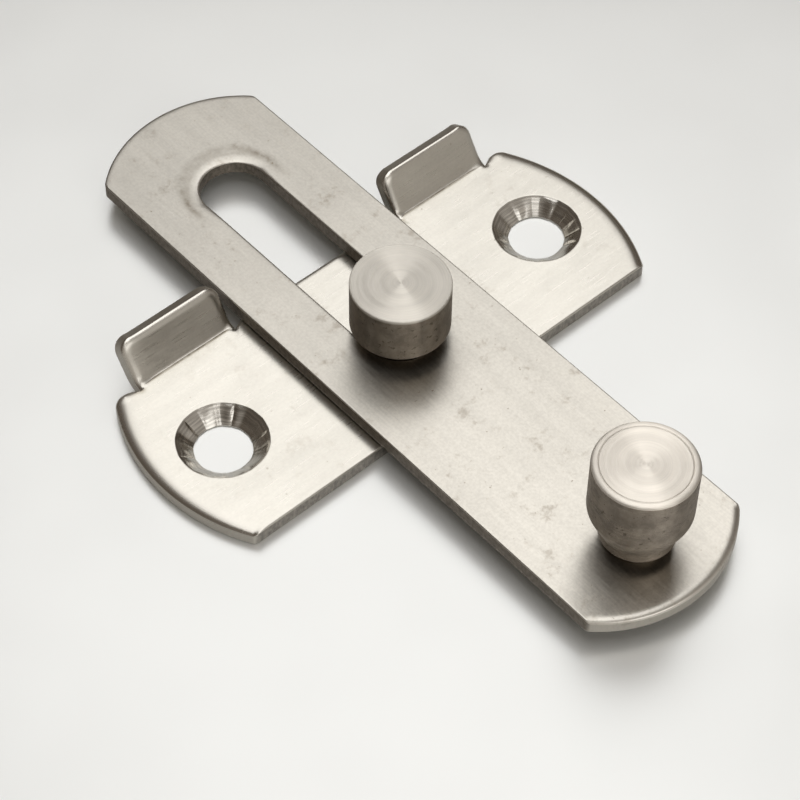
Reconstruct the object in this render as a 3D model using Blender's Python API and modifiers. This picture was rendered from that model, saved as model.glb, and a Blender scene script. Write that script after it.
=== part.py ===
"""Stainless-steel slide-bar latch: a slotted bar runs on a headed stud riveted to a base plate.

Frame: metres, +Z up. The origin is on the stud's axis, at the underside of the base plate.
+X runs along the base plate, from one screw hole to the other.
+Y is the way the bar's plain end points when the latch is thrown. The knob is at the -Y end.
The pieces are modelled with the latch thrown. Pulling the knob along -Y draws the plain end
back until it is level with the plate's back edge.
"""

import math

import bmesh
import bpy
from mathutils import Matrix, Vector

# ---- driving dimensions (metres and degrees) -------------------------------------------------

GAP = 0.0003                  # clearance kept between pieces that touch
EDGE_BREAK = 0.00022          # rounding of sheared and turned edges

# base plate
PLATE_THICKNESS = 0.0020
PLATE_DEPTH = 0.0270          # along Y
PLATE_SETBACK = 0.0028        # how far the plate's middle lies behind the stud's axis
PLATE_END_RADIUS = 0.0260     # the bulging short ends
PLATE_SHOULDER = 0.0071       # from a tab's outer end to the tip of the plate's end
FRONT_CORNER_RADIUS = 0.0009
BACK_CORNER_RADIUS = 0.0018
SCREW_OFFSET = 0.0136         # from the bar's edge to a screw hole's centre
SCREW_HOLE_RADIUS = 0.00365   # small end of the countersink
SCREW_SINK_RADIUS = 0.00572   # large end of the countersink
SCREW_LAND = 0.00015          # straight wall left under the countersink

# guide tabs, bent up from the plate's back edge
TAB_SIDE_PLAY = 0.0012        # from the bar's edge to a tab's inner end
TAB_WIDTH = 0.0151
TAB_LENGTH = 0.0058           # straight part, past the bend
TAB_ANGLE = math.radians(60)  # how far a tab is bent up out of the plate
TAB_BEND_RADIUS = 0.0003      # inside of the bend
TAB_SETBACK = 0.00045         # from the plate's back edge to the start of the bend
TAB_CORNER_RADIUS = 0.0019
RELIEF_WIDTH = 0.0006         # slit beside each end of a tab
RELIEF_REACH = 0.0001         # how far the slit runs past the start of the bend

# slide bar
BAR_THICKNESS = 0.0020
BAR_LENGTH = 0.1002
BAR_WIDTH = 0.0250
BAR_END_RADIUS = 0.01745
BAR_CORNER_RADIUS = 0.0012
SLOT_WIDTH = 0.0092
TRAVEL = 0.0322               # also the distance between the centres of the slot's round ends
DRAWN_OVERHANG = 0.00025      # what still stands past the plate's back edge when it is drawn

# guide stud
SHANK_PLAY = 0.0004           # between the shank and each side of the slot
STUD_HEAD_RADIUS = 0.0063
STUD_HEAD_HEIGHT = 0.00705
STUD_HEAD_LIFT = 0.00215      # from the bar's top to the underside of the head
STUD_TENON_RADIUS = 0.0030

# pull knob, heights measured from the bar's top
KNOB_FROM_END = 0.0100
KNOB_RADIUS = 0.0063
KNOB_HEIGHT = 0.0143
KNOB_TAPER_TOP = 0.0064       # where the straight side ends
KNOB_TAPER_FOOT = 0.0029      # where the taper ends on the collar
KNOB_COLLAR_HEIGHT = 0.0015   # the collar's lower end
KNOB_COLLAR_RADIUS = 0.0047
KNOB_NECK_RADIUS = 0.0036
KNOB_RIM_WIDTH = 0.00105
KNOB_RIM_DROP = 0.00027
KNOB_TENON_RADIUS = 0.0025

# riveted ends
RIVET_FLARE = 0.0008          # how much a hammered tenon spreads at its end

TURNED_STEPS = 64
ARC_STEP = math.radians(6)

# ---- places worked out from the dimensions ---------------------------------------------------

plate_back = PLATE_SETBACK + PLATE_DEPTH / 2
tab_inner = BAR_WIDTH / 2 + TAB_SIDE_PLAY
tab_outer = tab_inner + TAB_WIDTH
plate_half_length = tab_outer + PLATE_SHOULDER
screw_x = BAR_WIDTH / 2 + SCREW_OFFSET
bend_start = plate_back - TAB_SETBACK
bend_radius = TAB_BEND_RADIUS + PLATE_THICKNESS / 2

bar_bottom = PLATE_THICKNESS + GAP
bar_tail = plate_back + DRAWN_OVERHANG + TRAVEL
bar_head = bar_tail - BAR_LENGTH
knob_y = bar_head + KNOB_FROM_END
shank_radius = SLOT_WIDTH / 2 - SHANK_PLAY


# ---- outlines --------------------------------------------------------------------------------

def arc(centre, radius, start, end):
    """Points along an arc from one angle to another, both ends included."""
    count = max(2, math.ceil(abs(end - start) / ARC_STEP))
    angles = [start + (end - start) * i / count for i in range(count + 1)]
    return [Vector((centre[0] + radius * math.cos(a), centre[1] + radius * math.sin(a)))
            for a in angles]


def bulged_end(half_width, radius, first_corner, last_corner, tip):
    """A strip's bulged end that points along +Y, from its right side round to its left side.

    The end is an arc whose top is at y = tip, and a small arc rounds each of its corners.
    """
    middle = tip - radius

    def corner_centre(corner):
        across = half_width - corner
        return across, middle + math.sqrt((radius - corner) ** 2 - across ** 2)

    right = corner_centre(first_corner)
    left = corner_centre(last_corner)
    right_angle = math.atan2(right[1] - middle, right[0])
    left_angle = math.pi - math.atan2(left[1] - middle, left[0])
    points = arc(right, first_corner, 0, right_angle)
    points += arc((0, middle), radius, right_angle, left_angle)[1:]
    points += arc((-left[0], left[1]), last_corner, left_angle, math.pi)[1:]
    return points


def turned(points, angle):
    """The same points, turned about the origin."""
    turn = Matrix.Rotation(angle, 2)
    return [turn @ p for p in points]


def bar_outline():
    """The bar seen from above, with a bulged end at each side of the stud's axis."""
    corners = (BAR_CORNER_RADIUS, BAR_CORNER_RADIUS)
    tail_end = bulged_end(BAR_WIDTH / 2, BAR_END_RADIUS, *corners, bar_tail)
    knob_end = bulged_end(BAR_WIDTH / 2, BAR_END_RADIUS, *corners, -bar_head)
    return tail_end + turned(knob_end, math.pi)


def plate_outline():
    """The flat blank of the base plate, with both tabs still unbent."""
    half_depth = PLATE_DEPTH / 2
    end = bulged_end(half_depth, PLATE_END_RADIUS, FRONT_CORNER_RADIUS, BACK_CORNER_RADIUS,
                     plate_half_length)
    end = [p + Vector((0, PLATE_SETBACK)) for p in turned(end, -math.pi / 2)]
    slit_end = bend_start - RELIEF_REACH
    tab_tip = bend_start + bend_radius * TAB_ANGLE + TAB_LENGTH
    corner_y = tab_tip - TAB_CORNER_RADIUS
    outer_corner = arc((tab_outer - TAB_CORNER_RADIUS, corner_y), TAB_CORNER_RADIUS, 0, math.pi / 2)
    inner_corner = arc((tab_inner + TAB_CORNER_RADIUS, corner_y), TAB_CORNER_RADIUS,
                       math.pi / 2, math.pi)
    outer_slit = [(tab_outer + RELIEF_WIDTH, plate_back), (tab_outer + RELIEF_WIDTH, slit_end),
                  (tab_outer, slit_end)]
    inner_slit = [(tab_inner, slit_end), (tab_inner - RELIEF_WIDTH, slit_end),
                  (tab_inner - RELIEF_WIDTH, plate_back)]
    right = end + [Vector(p) for p in outer_slit] + outer_corner + inner_corner
    right += [Vector(p) for p in inner_slit]
    left = [Vector((-p.x, p.y)) for p in reversed(right)]
    return right + left


def slot_outline():
    """The slot, round at both ends, with the stud at its knob end."""
    radius = SLOT_WIDTH / 2
    return arc((0, TRAVEL), radius, 0, math.pi) + arc((0, 0), radius, math.pi, 2 * math.pi)


# ---- building blocks -------------------------------------------------------------------------

def add_object(name, mesh, collection, location=(0, 0, 0), parent=None):
    """Link a mesh as an object at a place in its parent's space."""
    obj = bpy.data.objects.new(name, mesh)
    obj.location = location
    obj.parent = parent
    collection.objects.link(obj)
    return obj


def mesh_from(bm, name):
    """Turn a bmesh into a mesh and free it."""
    mesh = bpy.data.meshes.new(name)
    bm.to_mesh(mesh)
    bm.free()
    return mesh


def sheet_bmesh(outline, bottom, top):
    """A flat outline, extruded upwards."""
    bm = bmesh.new()
    face = bm.faces.new([bm.verts.new((p.x, p.y, bottom)) for p in outline])
    grown = bmesh.ops.extrude_face_region(bm, geom=[face])
    raised = [v for v in grown["geom"] if isinstance(v, bmesh.types.BMVert)]
    bmesh.ops.translate(bm, verts=raised, vec=(0, 0, top - bottom))
    bmesh.ops.recalc_face_normals(bm, faces=bm.faces)
    return bm


def turned_object(name, profile, collection, location, parent=None):
    """A profile of (radius, height) points, from the top of the axis down, spun about Z."""
    bm = bmesh.new()
    points = [bm.verts.new((radius, 0, height)) for radius, height in profile]
    for upper, lower in zip(points, points[1:]):
        bm.edges.new((upper, lower))
    obj = add_object(name, mesh_from(bm, name), collection, location, parent)
    spin = obj.modifiers.new("spin", "SCREW")
    spin.steps = spin.render_steps = TURNED_STEPS
    spin.use_merge_vertices = True
    spin.merge_threshold = 0.00001
    spin.use_smooth_shade = False
    return obj


def make_cutter(name, mesh, location):
    """An object that only cuts others."""
    obj = add_object(name, mesh, cutters, location)
    obj.display_type = "WIRE"
    obj.hide_render = True
    return obj


def cone_cutter(name, bottom, top, bottom_radius, top_radius, location):
    """A cutter shaped as a cone or cylinder between two heights."""
    bm = bmesh.new()
    lift = Matrix.Translation((0, 0, (bottom + top) / 2))
    bmesh.ops.create_cone(bm, cap_ends=True, segments=TURNED_STEPS, radius1=bottom_radius,
                          radius2=top_radius, depth=top - bottom, matrix=lift)
    return make_cutter(name, mesh_from(bm, name), location)


def cut(obj, cutter):
    """Cut one object out of another."""
    modifier = obj.modifiers.new(cutter.name, "BOOLEAN")
    modifier.operation = "DIFFERENCE"
    modifier.solver = "EXACT"
    modifier.object = cutter


def break_edges(obj):
    """Round every sharp edge a little."""
    modifier = obj.modifiers.new("edge break", "BEVEL")
    modifier.width = EDGE_BREAK
    modifier.segments = 2
    modifier.limit_method = "ANGLE"
    modifier.angle_limit = math.radians(35)


def rivet_hole(obj, name, location, tenon_radius, thickness):
    """Cut a hole for a riveted tenon, countersunk below for its spread end."""
    over = PLATE_THICKNESS
    hole_radius = tenon_radius + GAP
    cut(obj, cone_cutter(name + "_hole", -over, thickness + over, hole_radius, hole_radius,
                         location))
    flare = RIVET_FLARE
    cut(obj, cone_cutter(name + "_sink", -flare, flare, hole_radius + 2 * flare, hole_radius,
                         location))


def rivet_profile(tenon_radius, shoulder):
    """The lower end of a turned piece: its tenon, hammered out flush to fill the countersink."""
    return [(tenon_radius, shoulder), (tenon_radius, RIVET_FLARE),
            (tenon_radius + RIVET_FLARE, 0), (0, 0)]


def steel(name, colour, roughness):
    """Bare stainless steel."""
    material = bpy.data.materials.new(name)
    material.use_nodes = True
    shader = material.node_tree.nodes["Principled BSDF"]
    shader.inputs["Base Color"].default_value = (*colour, 1)
    shader.inputs["Metallic"].default_value = 1
    shader.inputs["Roughness"].default_value = roughness
    return material


# ---- the pieces ------------------------------------------------------------------------------

def bend_tabs(bm):
    """Bend the two tabs of the flat blank up about lines along X.

    The blank is first cut across at each step of the bend. A point past the bend's start then
    turns about an axis above the plate, and what lies past the bend's end stays straight.
    """
    steps = 6
    bend_length = bend_radius * TAB_ANGLE
    for i in range(steps + 1):
        at = bend_start + bend_length * i / steps
        bmesh.ops.bisect_plane(bm, geom=bm.verts[:] + bm.edges[:] + bm.faces[:],
                               plane_co=(0, at, 0), plane_no=(0, 1, 0))
    slack = RELIEF_WIDTH / 4
    axis_height = PLATE_THICKNESS + TAB_BEND_RADIUS
    for vert in bm.verts:
        past = vert.co.y - bend_start
        if past <= 0 or not tab_inner - slack < abs(vert.co.x) < tab_outer + slack:
            continue
        angle = min(past / bend_radius, TAB_ANGLE)
        straight = max(0, past - bend_length)
        arm = axis_height - vert.co.z
        vert.co.y = bend_start + arm * math.sin(angle) + straight * math.cos(angle)
        vert.co.z = axis_height - arm * math.cos(angle) + straight * math.sin(angle)


def make_base_plate():
    """Stamped plate with two bent-up tabs, two countersunk screw holes and the stud's hole."""
    bm = sheet_bmesh(plate_outline(), 0, PLATE_THICKNESS)
    bend_tabs(bm)
    obj = add_object("base_plate", mesh_from(bm, "base_plate"), latch)
    break_edges(obj)
    over = PLATE_THICKNESS
    slope = (SCREW_SINK_RADIUS - SCREW_HOLE_RADIUS) / (PLATE_THICKNESS - SCREW_LAND)
    for side, name in ((-1, "left"), (1, "right")):
        centre = (side * screw_x, PLATE_SETBACK, 0)
        cut(obj, cone_cutter(f"screw_hole_{name}", -over, PLATE_THICKNESS + over,
                             SCREW_HOLE_RADIUS, SCREW_HOLE_RADIUS, centre))
        cut(obj, cone_cutter(f"screw_sink_{name}", SCREW_LAND, PLATE_THICKNESS + over,
                             SCREW_HOLE_RADIUS, SCREW_SINK_RADIUS + slope * over, centre))
    rivet_hole(obj, "stud", (0, 0, 0), STUD_TENON_RADIUS, PLATE_THICKNESS)
    obj.data.materials.append(steel("plate_steel", (0.66, 0.645, 0.61), 0.34))
    return obj


def make_guide_stud():
    """Headed stud: the shank passes through the slot and the tenon is riveted in the plate."""
    bar_top = bar_bottom + BAR_THICKNESS
    head_bottom = bar_top + STUD_HEAD_LIFT
    head_top = head_bottom + STUD_HEAD_HEIGHT
    shoulder = PLATE_THICKNESS + GAP
    profile = [(0, head_top), (STUD_HEAD_RADIUS - EDGE_BREAK, head_top),
               (STUD_HEAD_RADIUS, head_top - EDGE_BREAK),
               (STUD_HEAD_RADIUS, head_bottom + EDGE_BREAK),
               (STUD_HEAD_RADIUS - EDGE_BREAK, head_bottom), (shank_radius, head_bottom),
               (shank_radius, shoulder)]
    profile += rivet_profile(STUD_TENON_RADIUS, shoulder)
    obj = turned_object("guide_stud", profile, latch, (0, 0, 0))
    obj.data.materials.append(steel("turned_steel", (0.58, 0.565, 0.53), 0.28))
    return obj


def make_slide_bar(parent):
    """Flat bar with bulged ends, a long slot for the stud and a hole for the knob's tenon."""
    bm = sheet_bmesh(bar_outline(), 0, BAR_THICKNESS)
    obj = add_object("slide_bar", mesh_from(bm, "slide_bar"), latch, (0, 0, bar_bottom), parent)
    over = BAR_THICKNESS
    slot = sheet_bmesh(slot_outline(), -over, BAR_THICKNESS + over)
    cut(obj, make_cutter("guide_slot", mesh_from(slot, "guide_slot"), (0, 0, bar_bottom)))
    break_edges(obj)
    rivet_hole(obj, "knob", (0, knob_y, bar_bottom), KNOB_TENON_RADIUS, BAR_THICKNESS)
    obj.data.materials.append(steel("brushed_bar_steel", (0.56, 0.545, 0.515), 0.36))
    return obj


def make_pull_knob(bar):
    """Turned finger knob that tapers to a collar and a neck, its tenon riveted in the bar."""
    base = BAR_THICKNESS
    shoulder = base + GAP
    top = base + KNOB_HEIGHT
    collar = base + KNOB_COLLAR_HEIGHT
    profile = [(0, top), (KNOB_RADIUS - KNOB_RIM_WIDTH, top), (KNOB_RADIUS, top - KNOB_RIM_DROP),
               (KNOB_RADIUS, base + KNOB_TAPER_TOP), (KNOB_COLLAR_RADIUS, base + KNOB_TAPER_FOOT),
               (KNOB_COLLAR_RADIUS, collar + EDGE_BREAK),
               (KNOB_COLLAR_RADIUS - EDGE_BREAK, collar), (KNOB_NECK_RADIUS, collar),
               (KNOB_NECK_RADIUS, shoulder)]
    profile += rivet_profile(KNOB_TENON_RADIUS, shoulder)
    obj = turned_object("pull_knob", profile, latch, (0, knob_y, 0), bar)
    obj.data.materials.append(steel("knob_steel", (0.60, 0.585, 0.55), 0.27))
    return obj


for old in list(bpy.data.objects):
    bpy.data.objects.remove(old, do_unlink=True)

latch = bpy.data.collections.new("slide_bar_latch")
cutters = bpy.data.collections.new("cutters")
for group in (latch, cutters):
    bpy.context.scene.collection.children.link(group)

make_base_plate()
make_guide_stud()
# The bar swings about the stud's axis and slides along its slot, so its empty is on that axis.
bar_axis = add_object("bar_axis", None, latch)
slide_bar = make_slide_bar(bar_axis)
make_pull_knob(slide_bar)

for piece in latch.objects:
    if piece.type == "MESH":
        piece.data.shade_smooth()
        piece.data.set_sharp_from_angle(angle=math.radians(30))
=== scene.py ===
import math

import bmesh
import bpy
import numpy as np
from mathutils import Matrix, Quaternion, Vector


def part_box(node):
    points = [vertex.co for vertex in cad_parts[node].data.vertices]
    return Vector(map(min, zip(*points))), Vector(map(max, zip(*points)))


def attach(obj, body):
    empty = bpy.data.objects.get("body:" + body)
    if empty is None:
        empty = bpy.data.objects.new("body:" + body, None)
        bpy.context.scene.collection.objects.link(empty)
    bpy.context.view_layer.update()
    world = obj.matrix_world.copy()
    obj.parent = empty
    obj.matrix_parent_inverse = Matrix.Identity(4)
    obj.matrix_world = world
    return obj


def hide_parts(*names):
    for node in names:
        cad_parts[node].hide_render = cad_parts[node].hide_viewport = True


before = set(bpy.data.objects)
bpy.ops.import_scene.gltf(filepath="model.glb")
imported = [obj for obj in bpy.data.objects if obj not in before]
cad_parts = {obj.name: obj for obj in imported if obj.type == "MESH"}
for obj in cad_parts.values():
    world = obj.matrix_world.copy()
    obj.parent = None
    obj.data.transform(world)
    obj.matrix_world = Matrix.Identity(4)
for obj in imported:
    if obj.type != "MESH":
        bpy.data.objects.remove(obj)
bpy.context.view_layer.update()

# ---- base plate ------------------------------------------------------------------------------
# A stamping in 2 mm stainless sheet, brushed from end to end. Its screw holes are countersunk
# with a cutter that chatters, two tabs are folded up from its back edge, and tumbling has rolled
# its ends and tabs more than its sheared front edge.

MM = 0.001                        # every size below is in millimetres
plate_low, plate_high = (np.array(corner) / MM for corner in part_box("base_plate"))
bar_low, bar_high = (np.array(corner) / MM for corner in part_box("slide_bar"))

PLATE_THICKNESS = 2.0
PLATE_DEPTH = 27.0
PLATE_END_RADIUS = 26.0
PLATE_FRONT_CORNER = 0.9
PLATE_BACK_CORNER = 1.8
SCREW_OFFSET = 13.6               # from the bar's edge to a screw hole
SINK_RADIUS = 5.72                # the countersink's wide end
DRILL_RADIUS = 3.65               # and its narrow end
SINK_LAND = 0.15                  # straight wall left below it
STUD_HOLE_RADIUS = 3.3
STUD_HOLE_SINK = 0.8              # the chamfer below, for the hammered tenon
PATCH_SEAM = 10.0                 # where the patch round the stud meets those round the screws

TAB_SIDE_PLAY = 1.2               # from the bar's edge to a tab
TAB_WIDTH = 15.1
TAB_LENGTH = 5.8                  # straight part past the fold
TAB_ANGLE = math.radians(60)
TAB_CORNER = 1.9
TAB_BOW = math.radians(7)         # how much a tab's straight part is hollowed
FOLD_RADIUS = 1.3                 # at the middle of the sheet's thickness
FOLD_SETBACK = 0.45               # from the plate's back edge to the start of the fold
NOTCH_REACH = 0.1                 # how far a tab's notches cut past the start of the fold
NOTCH_WIDTH = 1.4
WEB_RADIUS = 1.7                  # how much wider the fold is at a tab's ends
WEB_OUTER, WEB_INNER = 2.8, 1.3   # how far along the tab that reaches
CREASE_DEPTH = 0.07               # the fold's coined line
CREASE_WIDTH = 0.16
CREASE_FADE = 0.8                 # over which it fades out at a tab's inner end

FLATS_LEFT, FLATS_RIGHT = (15, 1.3), (14, 0.4)   # how many flats chatter cut, and their phase
TWO_WAVES, THREE_WAVES = 0.13, 0.09              # how uneven they are in width
LEAN_STEP, LEAN = 2.4, 0.06                      # how each one leans its own way
LEAST_CHATTER = 0.2               # share of the chatter left at the cone's two ends

# How far a rolled edge reaches across the face, and how deep it sinks it.
FRONT_ROLL = (0.28, 0.20)
END_ROLL = (1.9, 0.66)
BACK_ROLL = (0.80, 0.45)
TAB_ROLL = (1.15, 0.60)
HIDDEN_ROLL = (0.14, 0.12)        # round the underside
SINK_ROLL = (0.16, 0.05)
NOTCH_ROLL = (1.0, 0.55)

BURNISH_HIGHLIGHT_DEPTH = 0.25            # an edge sunk this deep is painted fully bright: burnish, and a painted highlight

# Distances in from an edge to the rows of points beside it, and the spacing of the other points.
EDGE_ROWS = np.array([0, 0.03, 0.08, 0.15, 0.23, 0.34, 0.48, 0.66, 0.88, 1.15, 1.5, 2.1])
HOLE_ROWS = np.array([0, 0.03, 0.08, 0.15, 0.24, 0.36, 0.52, 0.74, 1.05, 1.4])
UNDER_ROWS = np.array([0, 0.04, 0.1, 0.2, 0.5])
MIDDLE_ROWS, UNDER_MIDDLE_ROWS, WALL_ROWS, CONE_ROWS = 7, 3, 7, 15
SPACING, SEAM_SPACING, TAB_SPACING = 0.4, 0.5, 0.3
CORNER_SPACING, NOTCH_SPACING, BEND_SPACING = 0.12, 0.1, 0.07
BEND_REACH = 2.6                  # how far past a tab's root the rows lie close together
CORNER_ROWS, FIRST_CORNER_ROW = 9, 1.85
WELD_DISTANCE = 0.002
SHARP_ANGLE = math.radians(40)    # edges turned more than this are shaded sharp
BLOCK = 2000                      # points that are measured against the edges at once

plate_middle = plate_low[1] + PLATE_DEPTH / 2
plate_back = plate_low[1] + PLATE_DEPTH
tab_inner = bar_high[0] + TAB_SIDE_PLAY
tab_outer = tab_inner + TAB_WIDTH
tab_root = plate_back - FOLD_SETBACK - NOTCH_REACH
fold_line = plate_back - FOLD_SETBACK + FOLD_RADIUS * math.tan(TAB_ANGLE / 2)
tab_tip = plate_back - FOLD_SETBACK + FOLD_RADIUS * TAB_ANGLE + TAB_LENGTH


def straight(start, end, spacing=SPACING):
    """Points start + t (end - start) for even steps of t. The end belongs to the next run."""
    start, end = np.array(start, float), np.array(end, float)
    steps = max(1, math.ceil(np.linalg.norm(end - start) / spacing))
    return start + (np.arange(steps) / steps)[:, None] * (end - start)


def arc(centre, radius, start, end, spacing=SPACING):
    """Points centre + radius (cos a, sin a) for even steps of the angle a, without the end."""
    steps = max(2, math.ceil(radius * abs(end - start) / spacing))
    a = start + (end - start) * np.arange(steps) / steps
    return np.array(centre) + radius * np.column_stack([np.cos(a), np.sin(a)])


def graded(start, end):
    """Points from edge to edge of the sheet: EDGE_ROWS from both ends, even steps between."""
    start, end = np.array(start, float), np.array(end, float)
    length = np.linalg.norm(end - start)
    reach = EDGE_ROWS[-1]
    steps = max(1, math.ceil((length - 2 * reach) / SEAM_SPACING))
    between = reach + (length - 2 * reach) * np.arange(1, steps) / steps
    t = np.concatenate([EDGE_ROWS, between, length - EDGE_ROWS[:0:-1]]) / length
    return start + t[:, None] * (end - start)


def edge(points, roll, last_roll=None):
    """Outline rows x, y, roll reach, roll depth, 1: a free edge, its roll changing evenly."""
    t = np.linspace(0, 1, len(points))[:, None]
    rolls = np.array(roll) + t * (np.array(last_roll or roll) - np.array(roll))
    return np.column_stack([points, rolls, np.ones(len(points))])


def seam(points):
    """Outline rows x, y, 1, 0, 0: a line where a patch of sheet meets the next one."""
    rows = np.zeros((len(points), 5))
    rows[:, :2] = points
    rows[:, 2] = 1
    return rows


def strip_end(half_width, radius, tip, corners, feet, rolls):
    """Up a strip's right side, round its bulged end, which points along +Y, and down its left.

    The end is an arc whose top is at y = tip. A corner's arc touches the side and the end, so its
    centre is (half_width - corner) from the middle line and (radius - corner) from the end's
    centre.
    """
    middle = tip - radius
    across = [half_width - corner for corner in corners]
    turns = [math.acos(a / (radius - corner)) for a, corner in zip(across, corners)]
    heights = [middle + (radius - corner) * math.sin(t) for corner, t in zip(corners, turns)]
    start, finish = (half_width, feet[0]), (-half_width, feet[1])
    return np.vstack([
        edge(straight(start, (half_width, heights[0])), rolls[0]),
        edge(arc((across[0], heights[0]), corners[0], 0, turns[0], CORNER_SPACING),
             rolls[0], rolls[1]),
        edge(arc((0, middle), radius, turns[0], math.pi - turns[1]), rolls[1]),
        edge(arc((-across[1], heights[1]), corners[1], math.pi - turns[1], math.pi,
                 CORNER_SPACING), rolls[1], rolls[2]),
        edge(straight((-half_width, heights[1]), finish), rolls[2]),
    ])


def quarter_ellipse(distance, reach, depth):
    """How deep a rolled edge sinks a face: depth (1 - sqrt(1 - (1 - distance / reach)^2))."""
    near = np.clip(1 - distance / reach, 0, 1)
    return depth * (1 - np.sqrt(1 - near ** 2))


def sunk(points, outlines):
    """The deepest quarter ellipse at each point, over every free edge of the outlines."""
    starts = np.vstack([outline[:-1] for outline in outlines])
    ends = np.vstack([outline[1:] for outline in outlines])
    free = starts[:, 4] == 1
    ends[ends[:, 4] == 0, 2:4] = starts[ends[:, 4] == 0, 2:4]
    starts, ends = starts[free], ends[free]
    along = ends[:, :2] - starts[:, :2]
    depths = []
    for block in np.array_split(points, max(1, len(points) // BLOCK)):
        offset = block[:, None] - starts[:, :2]
        t = np.clip((offset * along).sum(-1) / (along ** 2).sum(-1), 0, 1)
        distance = np.linalg.norm(offset - t[..., None] * along, axis=-1)
        roll = starts[:, 2:4] + t[..., None] * (ends - starts)[:, 2:4]
        depths.append(quarter_ellipse(distance, roll[..., 0], roll[..., 1]).max(axis=1))
    return np.concatenate(depths)


def smooth(t):
    """Rises from 0 to 1 as 3 t^2 - 2 t^3."""
    t = np.clip(t, 0, 1)
    return t * t * (3 - 2 * t)


def grid(place, grain, wall=0.0, wear_and_shade=0.0, cut=0.0):
    """A grid of points with its grain map and its finish: how sheared it is, its burnish with
    painted highlight and painted shade, and how cut it is.

    Brushing and tool marks run along the grain map's second direction. The finish's second number
    goes from -1, painted shade, to 1, burnished and painted with a highlight.
    """
    finish = np.zeros((*place.shape[:2], 3))
    for channel, value in enumerate((wall, wear_and_shade, cut)):
        finish[..., channel] = value
    return place, grain, finish


def chattered(angle, flats, phase):
    """Share by which a chattering cutter leaves its cone short of round.

    Between two ridges the wall is a chord, so its radius is cos(h) / cos(u) of the ridge's, with
    u the angle from the chord's middle and h half a flat. Slow waves make the flats uneven in
    width. A sine of the flat's number leans each one its own way, by the cubic (u/h) - (u/h)^3.
    """
    slow = TWO_WAVES * np.sin(2 * angle + phase) + THREE_WAVES * np.sin(3 * angle + 2 * phase)
    half = math.pi / flats
    place = (angle + slow + phase) / (2 * half)
    u = (place % 1 - 0.5) * 2 * half
    lean = LEAN * np.sin(LEAN_STEP * (np.floor(place) % flats) + phase)
    return 1 - math.cos(half) / np.cos(u) + lean * (u / half) * (1 - (u / half) ** 2)


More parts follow.
